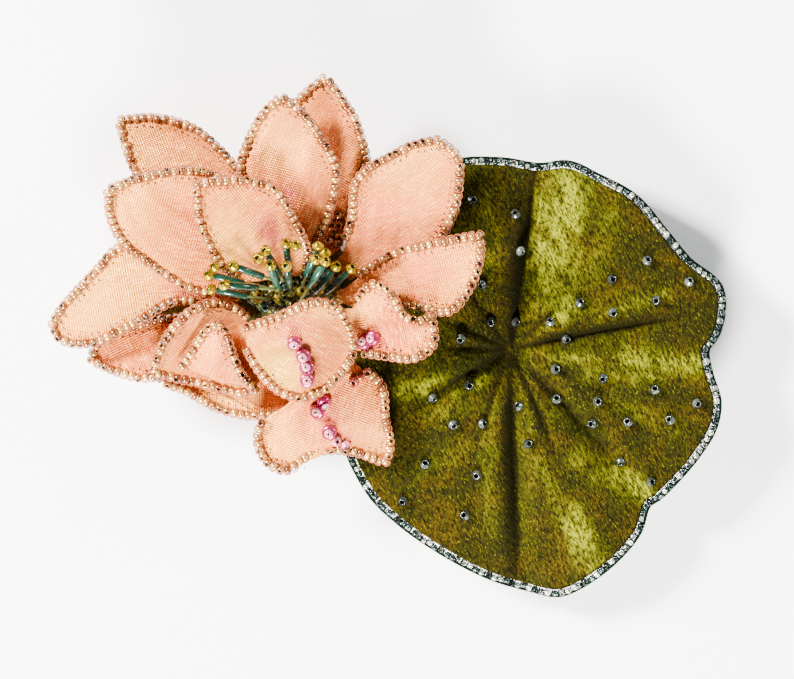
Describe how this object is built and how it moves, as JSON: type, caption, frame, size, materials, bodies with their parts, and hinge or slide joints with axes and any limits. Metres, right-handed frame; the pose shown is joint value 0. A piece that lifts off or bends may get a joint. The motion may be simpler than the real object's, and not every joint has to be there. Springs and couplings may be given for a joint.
{
  "type": "flower hair clip",
  "caption": "Automatic barrette with a satin water lily and a velvet leaf, edged with seed beads; the clasp arm swings on its pin and is held by two sprung latch wings.",
  "frame": {"origin": "middle of the clasp arm's flat underside, on which the clip rests", "axes": "+X along the barrette from its hinge to its latch, +Z away from the head, +Y towards the tips of the back petals"},
  "size_m": [0.1202, 0.0928, 0.0326],
  "materials": {
    "peach_satin": "satin",
    "copper_beads": "gloss",
    "olive_velvet": "velvet",
    "leaf_lining": "matte",
    "silver_beads": "gloss",
    "olive_felt": "matte",
    "moss_beads": "gloss",
    "stamen_glass": "gloss",
    "nickel_plate": "polished",
    "spring_steel": "satin"
  },
  "bodies": {
    "clip_base": {"barrette_base": "nickel_plate", "hinge_pin": "spring_steel", "tension_bar": "spring_steel", "tension_bar_rivet": "nickel_plate", "latch_spring": "spring_steel", "latch_rivet": "nickel_plate", "felt_backing": "olive_felt", "leaf_lining": "leaf_lining", "leaf_velvet": "olive_velvet", "leaf_edging": "silver_beads", "flower_base": "olive_felt", "flower_mound": "moss_beads", "petal_upper_left": "peach_satin", "petal_upper_left_edging": "copper_beads", "petal_left_upper": "peach_satin", "petal_left_upper_edging": "copper_beads", "petal_inner_left": "peach_satin", "petal_inner_left_edging": "copper_beads", "petal_back_centre": "peach_satin", "petal_back_centre_edging": "copper_beads", "petal_back": "peach_satin", "petal_back_edging": "copper_beads", "petal_upper_right": "peach_satin", "petal_upper_right_edging": "copper_beads", "petal_right": "peach_satin", "petal_right_edging": "copper_beads", "petal_lower_right": "peach_satin", "petal_lower_right_edging": "copper_beads", "petal_front_centre": "peach_satin", "petal_front_centre_edging": "copper_beads", "petal_front_hanging": "peach_satin", "petal_front_hanging_edging": "copper_beads", "petal_left": "peach_satin", "petal_left_edging": "copper_beads", "petal_lower_left": "peach_satin", "petal_lower_left_edging": "copper_beads", "petal_front_left": "peach_satin", "petal_front_left_edging": "copper_beads", "petal_front_left_inner": "peach_satin", "petal_front_left_inner_edging": "copper_beads", "petal_front_under": "peach_satin", "petal_front_under_edging": "copper_beads", "stamen_01": "stamen_glass", "stamen_02": "stamen_glass", "stamen_03": "stamen_glass", "stamen_04": "stamen_glass", "stamen_05": "stamen_glass", "stamen_06": "stamen_glass", "stamen_07": "stamen_glass", "stamen_08": "stamen_glass", "stamen_09": "stamen_glass", "stamen_10": "stamen_glass", "stamen_11": "stamen_glass", "stamen_12": "stamen_glass"},
    "clasp_arm": {"clasp_arm": "nickel_plate"},
    "latch_wing_front": {"latch_wing_front": "spring_steel"},
    "latch_wing_back": {"latch_wing_back": "spring_steel"}
  },
  "joints": [
    {"name": "clasp_hinge", "type": "hinge", "parent": "clip_base", "child": "clasp_arm", "pos_m": [-0.0375, 0, 0.002], "axis": [0, 1, 0], "range_deg": [0, 75]},
    {"name": "latch_squeeze", "type": "hinge", "parent": "clip_base", "child": "latch_wing_front", "pos_m": [0.0358, -0.0022, 0.0077], "axis": [1, 0, 0], "range_deg": [0, 9], "stiffness_Nm_per_rad": 0.03},
    {"name": "latch_squeeze_back", "type": "hinge", "parent": "clip_base", "child": "latch_wing_back", "pos_m": [0.0358, 0.0022, 0.0077], "axis": [-1, 0, 0], "range_deg": [0, 9], "stiffness_Nm_per_rad": 0.03}
  ],
  "couplings": [
    {"joint": "latch_squeeze_back", "follows": "latch_squeeze", "ratio": 1}
  ]
}
